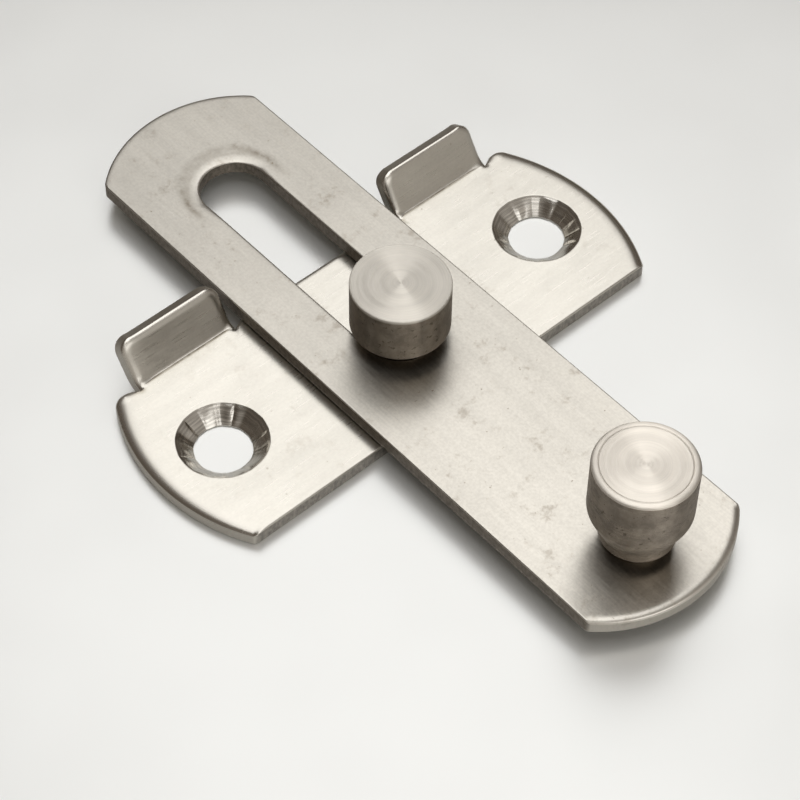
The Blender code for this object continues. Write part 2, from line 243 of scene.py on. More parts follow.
def patch(outline, outlines, heart_line, hole, thickness, bottom, across,
          hole_roll=SINK_ROLL, chatter=None, coined=None, ring_shade=np.zeros_like):
    """The sheet between a closed outline and one hole, as four grids of points.

    Every outline point looks straight at the nearest point of the hole's centre line, and the
    faces are ruled along these lines of sight, with rows close together at the edge and the hole.
    The grain map goes on past a rolled edge by as much as the face has sunk there.
    hole lists (radius, height) down the hole's wall. across says which of x and y run across and
    along the brushing. A hole with chatter is a countersink, whose tool marks run round it.
    coined is the depth of a line pressed into the face, also painted dark as shade, and the last
    argument the painted shade round the hole.
    """
    rim = outline[:, :2]
    heart = np.column_stack([np.full(len(rim), heart_line[0]), np.clip(rim[:, 1], *heart_line[1:])])
    span = np.linalg.norm(rim - heart, axis=1)
    sight = (rim - heart) / span[:, None]
    angle = np.unwrap(np.arctan2(sight[:, 1], sight[:, 0]))
    short = chattered(angle, *chatter) if chatter else np.zeros(len(rim))
    shares = LEAST_CHATTER + np.sin(np.linspace(0, math.pi, len(hole)))
    radii = np.array([radius * (1 - share * short) for (radius, _), share in zip(hole, shares)])
    roll = np.broadcast_to(hole_roll, (len(rim), 2))
    top = bottom + thickness
    run = np.concatenate([[0], np.cumsum(np.linalg.norm(np.diff(rim, axis=0), axis=1))])

    def face(near_rim, near_hole, radius, between):
        """Distances in from the outline: rows near it, even rows between, rows near the hole."""
        length = span - radius
        share = np.arange(1, between + 1)[:, None] / (between + 1)
        first, last = near_rim[-1], length - near_hole[-1]
        even = first + share * (last - first)
        inward = np.vstack([np.repeat(near_rim[:, None], len(rim), 1), even,
                            length - near_hole[::-1, None]])
        flat = heart + sight * (span - inward)[..., None]
        return flat, length - inward

    upper, from_hole = face(EDGE_ROWS, HOLE_ROWS, radii[0], MIDDLE_ROWS)
    edge_depth = sunk(upper.reshape(-1, 2), outlines).reshape(upper.shape[:2])
    hole_depth = quarter_ellipse(from_hole, roll[:, 0], roll[:, 1])
    unrolled = upper + sight * (edge_depth - hole_depth)[..., None]
    depth = np.maximum(edge_depth, hole_depth)
    # Deep rolled edges are painted bright, part burnish and part painted highlight; the ring round
    # the hole is painted shade.
    wear_and_shade = np.clip(depth / BURNISH_HIGHLIGHT_DEPTH, 0, 1) - ring_shade(from_hole)
    height = top - depth
    if coined:
        height = height - coined(upper)
        # The coined line is also painted dark: painted shade in the crease.
        wear_and_shade = wear_and_shade - coined(upper) / CREASE_DEPTH
    grids = [grid(np.dstack([upper, height]), unrolled[..., across], wear_and_shade=wear_and_shade)]

    under, _ = face(UNDER_ROWS, UNDER_ROWS, radii[-1], UNDER_MIDDLE_ROWS)
    low = sunk(under.reshape(-1, 2), [hidden_rolls(outline) for outline in outlines])
    low = bottom + low.reshape(under.shape[:2])
    grids.append(grid(np.dstack([under, low]), under[..., across]))

    free = np.flatnonzero(outline[:-1, 4] == 1)
    for stretch in np.split(free, np.flatnonzero(np.diff(free) > 1) + 1):
        ends = np.append(stretch, stretch[-1] + 1)
        grids.append(edge_wall(rim[ends], height[0, ends], low[0, ends], run[ends],
                               outline[ends, 3] / END_ROLL[1]))

    drop = np.array([z for _, z in hole])
    drop = np.repeat(drop[:, None], len(rim), 1)
    drop[0] = height[-1]
    ring = heart + sight * radii[..., None]
    down = np.repeat(np.linspace(0, thickness, len(hole))[:, None], len(rim), 1)
    around = np.concatenate([[0], np.cumsum(np.linalg.norm(np.diff(ring[0], axis=0), axis=1))])
    around = np.broadcast_to(around, down.shape)
    countersunk = 1.0 if chatter else 0.0
    marks = np.dstack([down, around] if chatter else [around, down])
    grids.append(grid(np.dstack([ring, drop]), marks, wall=1 - countersunk, cut=countersunk))
    return grids


def hidden_rolls(outline):
    """The same outline with the small roll of the underside."""
    under = outline.copy()
    under[:, 2:4] = HIDDEN_ROLL
    return under


def edge_wall(rim, upper, lower, run, wear_and_shade):
    """The sheared wall under an edge: straight lines from the upper height down to the lower."""
    t = np.linspace(0, 1, WALL_ROWS)[:, None]
    height = upper + t * (lower - upper)
    flat = np.broadcast_to(rim, (WALL_ROWS, *rim.shape))
    place = np.dstack([flat, height])
    marks = np.dstack([np.broadcast_to(run, height.shape), height])
    return grid(place, marks, wall=1.0, wear_and_shade=wear_and_shade)


def mesh_piece(name, grids, shape=None):
    """A closed mesh from grids of points that share their borders.

    Each cell of a grid is one quad. The shared points are welded, the grain map and the finish
    go to the corners of the faces, and the faces are turned to point outwards.
    """
    places, corners, grains, finishes, first = [], [], [], [], 0
    for place, grain, finish in grids:
        rows, columns = place.shape[:2]
        index = np.arange(rows * columns).reshape(rows, columns)
        quads = np.stack([index[:-1, :-1], index[:-1, 1:], index[1:, 1:], index[1:, :-1]], -1)
        quads = quads.reshape(-1, 4)
        places.append(place.reshape(-1, 3))
        corners.append(quads + first)
        grains.append(grain.reshape(-1, 2)[quads].reshape(-1, 2))
        finishes.append(finish.reshape(-1, 3)[quads].reshape(-1, 3))
        first += rows * columns
    points = np.vstack(places)
    if shape:
        points = shape(points)
    mesh = bpy.data.meshes.new(name)
    mesh.from_pydata(points * MM, [], np.vstack(corners))
    mesh.uv_layers.new(name="grain").data.foreach_set("uv", np.vstack(grains).ravel())
    finish = mesh.attributes.new("finish", "FLOAT_VECTOR", "CORNER")
    finish.data.foreach_set("vector", np.vstack(finishes).astype(np.float32).ravel())
    welded = bmesh.new()
    welded.from_mesh(mesh)
    bmesh.ops.remove_doubles(welded, verts=welded.verts, dist=WELD_DISTANCE * MM)
    bmesh.ops.recalc_face_normals(welded, faces=welded.faces)
    welded.to_mesh(mesh)
    welded.free()
    mesh.shade_smooth()
    mesh.set_sharp_from_angle(angle=SHARP_ANGLE)
    piece = bpy.data.objects.new(name, mesh)
    bpy.context.scene.collection.objects.link(piece)
    return piece


def closed(*runs):
    """One closed outline from runs of rows: the first row comes again at the end."""
    outline = np.vstack(runs)
    return np.vstack([outline, outline[:1]])


def mirrored(grids):
    """The same grids on the other side of x = 0."""
    return [(place * (-1, 1, 1), grain, finish) for place, grain, finish in grids]


def near_tab_ends(out):
    """How close |x| lies to a tab's ends: 0 along its middle, 1 at either end."""
    return np.maximum(smooth((out - tab_outer + WEB_OUTER) / WEB_OUTER),
                      smooth((tab_inner + WEB_INNER - out) / WEB_INNER))


def crease(flat):
    """Depth of the coined line along the fold: a bell across Y that fades at the tab's ends."""
    out, y = np.abs(flat[..., 0]), flat[..., 1]
    middle = smooth((out - tab_inner) / CREASE_FADE) * (1 - near_tab_ends(out))
    start = fold_line - FOLD_RADIUS * math.tan(TAB_ANGLE / 2)
    return CREASE_DEPTH * middle * np.exp(-((y - start) / CREASE_WIDTH) ** 2)


def fold(points):
    """Folds up the tabs of the flat blank.

    Past the fold's start the sheet follows an arc, and past that a much flatter one, the tab's
    bow. An arc of length l that leaves at an angle a and turns by b moves the sheet's middle by
    l sin(b/2) / (b/2) at the angle a + b/2. Near a tab's ends the fold is wider, and beyond them
    its angle dies away across the notch, which leaves a small web there.
    """
    out, y, z = np.abs(points[:, 0]), points[:, 1], points[:, 2]
    radius = FOLD_RADIUS + WEB_RADIUS * near_tab_ends(out)
    share = (smooth(1 - (out - tab_outer) / NOTCH_WIDTH)
             * smooth(1 - (tab_inner - out) / NOTCH_WIDTH))
    past = y - (fold_line - radius * math.tan(TAB_ANGLE / 2))
    turn = TAB_ANGLE - TAB_BOW / 2
    bent = np.minimum(past, radius * TAB_ANGLE)
    beyond = past - bent
    angle = share * turn * np.clip(past / (radius * TAB_ANGLE), 0, 1)
    bow = TAB_BOW * beyond / TAB_LENGTH
    first = bent * np.sinc(angle / 2 / math.pi)
    second = beyond * np.sinc(bow / 2 / math.pi)
    lift = z - PLATE_THICKNESS / 2
    folded = points.copy()
    folded[:, 1] = (y - past + first * np.cos(angle / 2) + second * np.cos(angle + bow / 2)
                    - lift * np.sin(angle + bow))
    folded[:, 2] = (PLATE_THICKNESS / 2 + first * np.sin(angle / 2)
                    + second * np.sin(angle + bow / 2) + lift * np.cos(angle + bow))
    return folded


def tab_outline():
    """The right tab's free edges in the flat blank, from its root's outer end to its inner end."""
    corner = tab_tip - TAB_CORNER
    outer, inner = tab_outer - TAB_CORNER, tab_inner + TAB_CORNER
    path = np.vstack([
        straight((tab_outer, tab_root), (tab_outer, corner), TAB_SPACING),
        arc((outer, corner), TAB_CORNER, 0, math.pi / 2, CORNER_SPACING),
        straight((outer, tab_tip), (inner, tab_tip), TAB_SPACING),
        arc((inner, corner), TAB_CORNER, math.pi / 2, math.pi, CORNER_SPACING),
        straight((tab_inner, corner), (tab_inner, tab_root), TAB_SPACING),
        [(tab_inner, tab_root)],
    ])
    return edge(path, TAB_ROLL)


def tab(outlines):
    """The right tab as two faces and a wall, still flat.

    A row at height y spans from end to end of the tab, and its points keep their shares of the
    width. The corners narrow it by c - sqrt(c^2 - t^2), with t the way past the corner's start.
    """
    root = graded((tab_inner, tab_root), (tab_outer, tab_root))[:, 0]
    root = np.append(root, tab_outer)
    middle, half = (tab_inner + tab_outer) / 2, TAB_WIDTH / 2
    bend_rows = np.arange(tab_root, tab_root + BEND_REACH, BEND_SPACING)
    corner_rows = TAB_CORNER * (1 - np.sin(np.linspace(0, math.pi / 2, CORNER_ROWS)))
    from_tip = np.concatenate([EDGE_ROWS, [FIRST_CORNER_ROW], corner_rows])
    tip_rows = np.unique((tab_tip - from_tip).round(4))
    between = np.arange(bend_rows[-1], tab_tip - EDGE_ROWS[-1], TAB_SPACING)[1:]
    between = between[between < tip_rows[0] - TAB_SPACING / 3]
    y = np.concatenate([bend_rows, between, tip_rows])
    past = np.clip(y - (tab_tip - TAB_CORNER), 0, TAB_CORNER)
    width = half - TAB_CORNER + np.sqrt(TAB_CORNER ** 2 - past ** 2)
    x = middle + (root - middle) / half * width[:, None]
    flat = np.dstack([x, np.broadcast_to(y[:, None], x.shape)])
    depth = sunk(flat.reshape(-1, 2), outlines).reshape(x.shape)
    low = sunk(flat.reshape(-1, 2), [hidden_rolls(o) for o in outlines]).reshape(x.shape)
    past_corner = np.clip((y - tab_tip + TAB_CORNER) / TAB_CORNER, 0, 1)[:, None]
    outwards = np.dstack(np.broadcast_arrays((x - middle) / half, past_corner))
    unrolled = flat + outwards * depth[..., None]
    high = PLATE_THICKNESS - depth - crease(flat)
    # Deep rolled edges are painted bright, part burnish and part painted highlight, and the crease
    # is painted dark as shade.
    wear_and_shade = np.clip(depth / BURNISH_HIGHLIGHT_DEPTH, 0, 1) - crease(flat) / CREASE_DEPTH
    border = [np.concatenate([a[:, 0], a[-1, 1:-1], a[::-1, -1]]) for a in (flat, high, low)]
    run = np.concatenate([[0], np.cumsum(np.linalg.norm(np.diff(border[0], axis=0), axis=1))])
    return [grid(np.dstack([flat, high]), unrolled[..., [1, 0]], wear_and_shade=wear_and_shade),
            grid(np.dstack([flat, low]), flat[..., [1, 0]]),
            edge_wall(*border, run, TAB_ROLL[1] / END_ROLL[1])]


# The steel's patterns: each noise's scale, detail, roughness and stretch.
FINE_MARKS = (1, 4, 0.6, (4.0, 0.22, 1))
BROAD_MARKS = (1, 3, 0.5, (0.55, 0.03, 1))
MOTTLE = (1, 4, 0.65, (2.2, 1.2, 1))
SCRATCHES = (1, 1, 0.4, (4.5, 0.16, 1))
CUT_RINGS = (1, 3, 0.6, (6, 0.12, 1))
CLOUDS = (70, 3)
SMUDGES = (230, 8, 0.8)
SPECKS = (1100, 3, 0.6)
PITTING = (2600, 2)
PATCHES = (700, 3, 0.6)
MIDDLE, MOST = (0.3, 0.7), (0.25, 0.75)  # the ranges that a noise's values mostly lie in

# The bright colour of rolled edges: burnished steel, and a painted highlight.
BURNISHED_HIGHLIGHT = (0.74, 0.71, 0.65, 1)
# Painted shade for the coined crease and for the ring round the slot's far end.
PAINTED_SHADE = (0.22, 0.19, 0.15, 1)
DIRT = (0.30, 0.24, 0.17, 1)
CUT_DULL, CUT_BRIGHT = (0.52, 0.50, 0.46, 1), (0.86, 0.83, 0.77, 1)
PLATE_FACE, PLATE_WALL = (0.665, 0.64, 0.58), (0.52, 0.49, 0.45)
PLATE_ROUGHNESS = 0.30
WALL_SHADE = 0.5                  # how dark the darker half of a sheared wall's mottle is
SHEET_ANISOTROPY = 0.55
SHEET_RELIEF = 0.004              # the depth of bump, and its strength
BUMP_STRENGTH = 0.6
SCRATCH_SLANT = 0.5               # radians


def add(tree, kind, inputs=None, **settings):
    """A shader node. An input that is another node's output is linked, any other is set."""
    made = tree.nodes.new("ShaderNode" + kind)
    for name, value in settings.items():
        setattr(made, name, value)
    for socket, value in (inputs or {}).items():
        if isinstance(value, bpy.types.NodeSocket):
            tree.links.new(value, made.inputs[socket])
        else:
            made.inputs[socket].default_value = value
    return made


def noise(tree, vector, scale, detail=3.0, roughness=0.55, stretch=(1, 1, 1)):
    """Noise in 0 to 1, with its pattern drawn out by the inverse of stretch."""
    drawn = add(tree, "Mapping", {"Vector": vector, "Scale": stretch})
    made = add(tree, "TexNoise", {"Vector": drawn.outputs[0], "Scale": scale, "Detail": detail,
                                  "Roughness": roughness})
    return made.outputs["Fac"]


def ranged(tree, value, low, high, to_low=0.0, to_high=1.0):
    """The value's range from low to high, eased to a new range."""
    made = add(tree, "MapRange", {"Value": value, "From Min": low, "From Max": high,
                                  "To Min": to_low, "To Max": to_high},
               interpolation_type="SMOOTHSTEP")
    return made.outputs["Result"]


def maths(tree, operation, first, second):
    """One sum on two values."""
    return add(tree, "Math", {0: first, 1: second}, operation=operation).outputs[0]


def product(tree, first, *others):
    """All the values multiplied together."""
    for other in others:
        first = maths(tree, "MULTIPLY", first, other)
    return first


def blended(tree, factor, first, second, kind="MIX"):
    """One colour mixed into another."""
    made = add(tree, "MixRGB", {"Fac": factor, "Color1": first, "Color2": second}, blend_type=kind)
    return made.outputs["Color"]


def parts(tree, vector):
    """The three numbers of a vector."""
    return add(tree, "SeparateXYZ", {"Vector": vector}).outputs


def steel_shader(name, anisotropy):
    """A bare metal with an anisotropic sheen across its grain map's marks.

    Also gives its grain map, its place on the piece, and its finish: how sheared, how burnished
    with painted highlight and painted shade, and how cut.
    """
    material = bpy.data.materials.new(name)
    material.use_nodes = True
    tree = material.node_tree
    shader = tree.nodes["Principled BSDF"]
    shader.inputs["Metallic"].default_value = 1
    shader.inputs["Anisotropic"].default_value = anisotropy
    tangent = add(tree, "Tangent", direction_type="UV_MAP", uv_map="grain")
    tree.links.new(tangent.outputs["Tangent"], shader.inputs["Tangent"])
    grain = add(tree, "UVMap", uv_map="grain").outputs["UV"]
    here = add(tree, "TexCoord").outputs["Object"]
    finish = parts(tree, add(tree, "Attribute", attribute_name="finish").outputs["Vector"])
    return material, tree, shader, grain, here, finish


def connect(tree, shader, colour, rough, relief, depth):
    """Gives the shader its colour, its roughness and its bump."""
    tree.links.new(colour, shader.inputs["Base Color"])
    tree.links.new(rough, shader.inputs["Roughness"])
    bump = add(tree, "Bump", {"Height": relief, "Distance": depth * MM, "Strength": BUMP_STRENGTH})
    tree.links.new(bump.outputs["Normal"], shader.inputs["Normal"])


def brushed_sheet(name, colour, wall_colour, roughness, seed=0.0, shade_along=None, marks=0.6):
    """Brushed stainless sheet with sheared walls, burnished and highlight-painted edges, and
    countersinks.

    Fine and broad noise, drawn out along the grain, tints the face and roughens it. Cloudy noise
    and a few smudges lie over them. The walls take a darker, mottled finish, and the countersinks
    fine rings. Painted shade darkens the face between two places along Y: (y, share) twice. marks
    is how strongly the brushing and the specks stand out.
    """
    material, tree, shader, grain, here, finish = steel_shader(name, SHEET_ANISOTROPY)
    wall, wear_and_shade, cut = finish[0], finish[1], finish[2]
    whole = ranged(tree, wear_and_shade, 0.0, 0.15, 1.0, 0.0)
    shifted = add(tree, "Mapping", {"Vector": here, "Location": (seed, seed, seed)}).outputs[0]
    fine = maths(tree, "SUBTRACT", noise(tree, grain, *FINE_MARKS), 0.5)
    fine = maths(tree, "ADD", product(tree, fine, whole), 0.5)
    mottle = noise(tree, grain, *MOTTLE)

    tint = product(
        tree, ranged(tree, fine, *MOST, 1 - 0.06 * marks, 1 + 0.05 * marks),
        ranged(tree, noise(tree, grain, *BROAD_MARKS), *MIDDLE, 0.97, 1.03),
        ranged(tree, noise(tree, shifted, *CLOUDS), *MIDDLE, 0.96, 1.03),
        ranged(tree, noise(tree, shifted, *PITTING), *MIDDLE, 1 - 0.045 * marks, 1 + 0.035 * marks))
    # Painted shade that darkens the face along Y.
    if shade_along:
        (start, start_share), (finish_at, finish_share) = shade_along
        tint = product(tree, tint, ranged(tree, parts(tree, here)[1], start * MM, finish_at * MM,
                                          start_share, finish_share))
    face = blended(tree, 1, (*colour, 1), tint, "MULTIPLY")
    # Rolled edges painted bright: burnish, and a painted highlight.
    face = blended(tree, maths(tree, "MAXIMUM", wear_and_shade, 0.0), face, BURNISHED_HIGHLIGHT)
    # Painted shade, patchy, where the finish's second number is below zero: the coined crease and
    # the ring round the slot.
    patchy = ranged(tree, noise(tree, shifted, *PATCHES), 0.35, 0.6, -0.45, -1.0)
    face = blended(tree, maths(tree, "MAXIMUM", product(tree, wear_and_shade, patchy), 0.0), face, PAINTED_SHADE)
    smudge = ranged(tree, noise(tree, shifted, *SMUDGES), 0.54, 0.67)
    speck = ranged(tree, noise(tree, shifted, *SPECKS), 0.70, 0.76)
    dirt = maths(tree, "MAXIMUM", product(tree, smudge, 0.24 * marks),
                 product(tree, speck, 0.7 * marks))
    face = blended(tree, dirt, face, DIRT)
    dark_wall = tuple(WALL_SHADE * c for c in wall_colour)
    side = blended(tree, ranged(tree, mottle, *MIDDLE), (*dark_wall, 1), (*wall_colour, 1))
    drilled = blended(tree, ranged(tree, noise(tree, grain, *CUT_RINGS), *MIDDLE),
                      CUT_DULL, CUT_BRIGHT)
    # On the bar the dark side colour is partly sheared steel and partly painted shade; under deep
    # rolled edges the walls take the face's colour, partly burnish and partly a painted reflection
    # of the bright floor.
    sheared_and_shaded = product(tree, wall, ranged(tree, wear_and_shade, 0.3, 0.9, 1.0, 0.1))
    colour_now = blended(tree, cut, blended(tree, sheared_and_shaded, face, side), drilled)

    rough = ranged(tree, fine, *MOST, roughness - 0.04, roughness + 0.05)
    for zone, change in ((dirt, 0.25), (wear_and_shade, -0.04), (wall, 0.10), (cut, -0.12)):
        rough = maths(tree, "ADD", rough, product(tree, zone, change))

    slanted = add(tree, "Mapping", {"Vector": grain,
                                    "Rotation": (0, 0, SCRATCH_SLANT + seed)}).outputs[0]
    scratch = ranged(tree, noise(tree, slanted, *SCRATCHES), 0.77, 0.80)
    relief = product(tree, fine, 0.35 * marks)
    for mark, height in ((scratch, -0.12 * marks), (product(tree, mottle, wall), 2.5)):
        relief = maths(tree, "ADD", relief, product(tree, mark, height))
    connect(tree, shader, colour_now, rough, relief, SHEET_RELIEF)
    return material


plate_end = strip_end(PLATE_DEPTH / 2, PLATE_END_RADIUS, plate_high[0],
                      (PLATE_FRONT_CORNER, PLATE_BACK_CORNER),
                      (PATCH_SEAM, tab_outer + NOTCH_WIDTH), (FRONT_ROLL, END_ROLL, BACK_ROLL))
plate_end[:, :2] = np.column_stack([plate_end[:, 1], plate_middle - plate_end[:, 0]])
outer_notch, inner_notch = tab_outer + NOTCH_WIDTH, tab_inner - NOTCH_WIDTH
plate_front = plate_low[1]
screw_outline = closed(
    plate_end,
    edge(straight((outer_notch, plate_back), (tab_outer, tab_root), NOTCH_SPACING), NOTCH_ROLL),
    seam(graded((tab_outer, tab_root), (tab_inner, tab_root))),
    edge(straight((tab_inner, tab_root), (inner_notch, plate_back), NOTCH_SPACING), NOTCH_ROLL),
    edge(straight((inner_notch, plate_back), (PATCH_SEAM, plate_back)), BACK_ROLL),
    seam(graded((PATCH_SEAM, plate_back), (PATCH_SEAM, plate_front))),
)
stud_outline = closed(
    edge(straight((-PATCH_SEAM, plate_front), (PATCH_SEAM, plate_front)), FRONT_ROLL),
    seam(graded((PATCH_SEAM, plate_front), (PATCH_SEAM, plate_back))),
    edge(straight((PATCH_SEAM, plate_back), (-PATCH_SEAM, plate_back)), BACK_ROLL),
    seam(graded((-PATCH_SEAM, plate_back), (-PATCH_SEAM, plate_front))),
)


def screw_side(chatter):
    """The right side of the plate: the patch with the screw hole, and the tab."""
    outlines = [screw_outline, tab_outline()]
    screw_x = bar_high[0] + SCREW_OFFSET
    t = np.linspace(0, 1, CONE_ROWS)
    radius = SINK_RADIUS + t * (DRILL_RADIUS - SINK_RADIUS)
    height = PLATE_THICKNESS + t * (SINK_LAND - PLATE_THICKNESS)
    wall = [*zip(radius, height), (DRILL_RADIUS, 0)]
    return patch(screw_outline, outlines, (screw_x, plate_middle, plate_middle), wall,
                 PLATE_THICKNESS, 0, (1, 0), chatter=chatter, coined=crease) + tab(outlines)


stud_wall = [(STUD_HOLE_RADIUS, PLATE_THICKNESS), (STUD_HOLE_RADIUS, STUD_HOLE_SINK),
             (STUD_HOLE_RADIUS + STUD_HOLE_SINK, 0)]
plate = mesh_piece("plate_stamping", [
    *screw_side(FLATS_RIGHT), *mirrored(screw_side(FLATS_LEFT)),
    *patch(stud_outline, [stud_outline], (0, 0, 0), stud_wall, PLATE_THICKNESS, 0, (1, 0)),
], fold)
plate.data.materials.append(brushed_sheet("brushed_plate", PLATE_FACE, PLATE_WALL,
                                          PLATE_ROUGHNESS))
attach(plate, "base")
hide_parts("base_plate")

# ---- guide stud ------------------------------------------------------------------------------
# A stud turned from stainless bar, with a wide flat head. Its shank stands in the bar's slot, and
# its tenon goes through the plate and is hammered out flush below.

HEAD_RADIUS = 6.3
HEAD_TOP, HEAD_BOTTOM = 13.5, 6.45
SHANK_RADIUS = 4.2
STUD_TENON_RADIUS = 3.26
HEAD_CHAMFER = 0.22
HEAD_EDGE = 0.2                   # how far the head's lower edge is broken
PIP_RADIUS, PIP_RISE = 0.3, 0.035 # what the parting tool leaves at the middle
SHOULDER_GAP = 0.01               # under the shank's shoulder, so that it doesn't share a plane

TURNS, FINE_TURNED, TURNED_SPACING, CURVE_STEPS = 224, 0.2, 0.3, 7
FINE_RINGS = (1, 4, 0.6, (5, 1, 1))
BROAD_RINGS = (1, 2, 0.5, (1.1, 1.6, 1.6))
RING_DRIFT = 60                   # how fast the rings change round the piece, per metre
WALL_MOTTLE = (1, 5, 0.7, (520, 520, 420))
TURNED_CLOUDS = (160, 3)
TURNED_PITS = (1300, 3, 0.6)
PIT_COLOUR = (0.07, 0.055, 0.04, 1)
# Painted shade for the neck under the stud's head and the knob's collar.
NECK_SHADE_COLOUR = (0.13, 0.105, 0.08, 1)
TURNED_SHADE = 0.6                # how dark the darker half of an outer wall's mottle is
TURNED_ANISOTROPY = 1.0
TURNED_RELIEF = 0.003
# The outer wall's darker, browner colour is partly the rougher skin and partly painted shade.
STUD_FACE, STUD_WALL_AND_SHADE = (0.78, 0.745, 0.675), (0.37, 0.325, 0.27)
STUD_ROUGHNESS = 0.40


def corner(start, tip, finish):
    """A rounded corner: the curve (1-t)^2 start + 2 t (1-t) tip + t^2 finish, without its end."""
    t = np.linspace(0, 1, CURVE_STEPS)[:-1, None]
    return ((1 - t) ** 2 * np.array(start) + 2 * t * (1 - t) * np.array(tip)
            + t ** 2 * np.array(finish))


def chained(spacing, *points):
    """Straight runs from each point to the next. The last point belongs to what follows."""
    return np.vstack([straight(a, b, spacing) for a, b in zip(points, points[1:])])


def tenon(radius, shoulder, sink, foot):
    """A riveted tenon's profile: down, out along its hammered chamfer, and in to the axis."""
    return np.vstack([straight((radius, shoulder), (radius, foot + sink), TURNED_SPACING),
                      straight((radius, foot + sink), (radius + sink, foot), FINE_TURNED),
                      straight((radius + sink, foot), (0, foot)), [(0, foot)]])


def turned(profile, centre, foot, side):
    """A turned surface: each (radius, height) of the profile goes round the axis at centre.

    Its grain map is the length down the profile and the angle. Heights within side count as the
    rougher outer wall, and those from foot up to it as the neck, in painted shade under what is
    above it.
    """
    around = np.linspace(0, 2 * math.pi, TURNS + 1)
    radius, height = profile[:, :1], profile[:, 1:]
    place = np.dstack([centre[0] + radius * np.cos(around), centre[1] + radius * np.sin(around),
                       np.repeat(height, TURNS + 1, 1)])
    steps = np.linalg.norm(np.diff(profile, axis=0), axis=1)
    length = np.concatenate([[0], np.cumsum(steps)])[:, None]
    grain = np.dstack(np.broadcast_arrays(length, around * radius.max()))
    outer = (height > side[0]) & (height < side[1]) & (radius > radius.max() / 2)
    neck = (height > foot) & (height < side[0]) & (radius > radius.max() / 2)
    # The neck is marked for painted shade.
    return grid(place, grain, wall=outer.astype(float), wear_and_shade=-neck.astype(float))


def turned_steel(name, colour, wall_colour, roughness):
    """Turned stainless: fine rings on every face, a browner, mottled, pitted wall, partly painted
    shade.

    The rings are noise that changes down the profile and hardly round it, so they close.
    """
    material, tree, shader, grain, here, finish = steel_shader(name, TURNED_ANISOTROPY)
    wall, neck_shade = finish[0], product(tree, finish[1], -1.0)
    side_on = parts(tree, here)
    round_it = add(tree, "CombineXYZ", {"X": parts(tree, grain)[0],
                                        "Y": product(tree, side_on[0], RING_DRIFT),
                                        "Z": product(tree, side_on[1], RING_DRIFT)}).outputs[0]
    fine = noise(tree, round_it, *FINE_RINGS)
    mottle = noise(tree, here, *WALL_MOTTLE)

    tint = product(tree, ranged(tree, fine, *MOST, 0.90, 1.06),
                   ranged(tree, noise(tree, round_it, *BROAD_RINGS), *MIDDLE, 0.93, 1.05),
                   ranged(tree, noise(tree, here, *TURNED_CLOUDS), *MIDDLE, 0.95, 1.03))
    face = blended(tree, 1, (*colour, 1), tint, "MULTIPLY")
    dark = tuple(TURNED_SHADE * c for c in wall_colour)
    side = blended(tree, ranged(tree, mottle, *MIDDLE), (*dark, 1), (*wall_colour, 1))
    pits = ranged(tree, noise(tree, here, *TURNED_PITS), 0.62, 0.68, 0.0, 0.6)
    side = blended(tree, pits, side, PIT_COLOUR)
    # The neck is painted dark: painted shade under the wider part above it.
    colour_now = blended(tree, neck_shade, blended(tree, wall, face, side), NECK_SHADE_COLOUR)

    rough = ranged(tree, fine, *MOST, roughness - 0.03, roughness + 0.06)
    rough = maths(tree, "SUBTRACT", rough, product(tree, wall, 0.05))
    rings = product(tree, fine, ranged(tree, wall, 0.0, 1.0, 1.0, 0.3))
    relief = maths(tree, "ADD", rings, product(tree, mottle, wall))
    connect(tree, shader, colour_now, rough, relief, TURNED_RELIEF)
    return material


shank_foot = PLATE_THICKNESS + SHOULDER_GAP
stud_profile = np.vstack([
    corner((0, HEAD_TOP + PIP_RISE), (PIP_RADIUS / 3, HEAD_TOP), (PIP_RADIUS, HEAD_TOP)),
    chained(FINE_TURNED, (PIP_RADIUS, HEAD_TOP), (HEAD_RADIUS - HEAD_CHAMFER, HEAD_TOP)),
    corner((HEAD_RADIUS - HEAD_CHAMFER, HEAD_TOP), (HEAD_RADIUS, HEAD_TOP),
           (HEAD_RADIUS, HEAD_TOP - HEAD_CHAMFER)),
    chained(TURNED_SPACING, (HEAD_RADIUS, HEAD_TOP - HEAD_CHAMFER),
            (HEAD_RADIUS, HEAD_BOTTOM + HEAD_EDGE)),
    corner((HEAD_RADIUS, HEAD_BOTTOM + HEAD_EDGE), (HEAD_RADIUS, HEAD_BOTTOM),
           (HEAD_RADIUS - HEAD_EDGE, HEAD_BOTTOM)),
    chained(TURNED_SPACING, (HEAD_RADIUS - HEAD_EDGE, HEAD_BOTTOM), (SHANK_RADIUS, HEAD_BOTTOM),
            (SHANK_RADIUS, shank_foot)),
    straight((SHANK_RADIUS, shank_foot), (STUD_TENON_RADIUS, shank_foot)),
    tenon(STUD_TENON_RADIUS, shank_foot, STUD_HOLE_SINK, 0),
])
stud = mesh_piece("stud_turning", [turned(stud_profile, (0, 0), PLATE_THICKNESS,
                                          (HEAD_BOTTOM + HEAD_EDGE / 2, HEAD_TOP - HEAD_CHAMFER))])
stud.data.materials.append(turned_steel("turned_stud", STUD_FACE, STUD_WALL_AND_SHADE, STUD_ROUGHNESS))
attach(stud, "stud")
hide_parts("guide_stud")

# ---- slide bar -------------------------------------------------------------------------------
# A strip of the same 2 mm sheet with bulging ends, brushed along its length. A long slot takes
# the stud, and years of sliding against it have burnished the slot's rim, which is also painted
# with a highlight and ringed with painted shade.

BAR_WIDTH = 25.0
BAR_END_RADIUS = 17.45
BAR_CORNER = 1.2
SLOT_RADIUS = 4.6
TRAVEL = 32.2                            # between the centres of the slot's round ends
KNOB_HOLE_RADIUS = 2.8
KNOB_HOLE_SINK = 0.8
KNOB_FROM_END = 10.0
BAR_SEAM = -15.0                         # where the patches round the slot and the knob meet

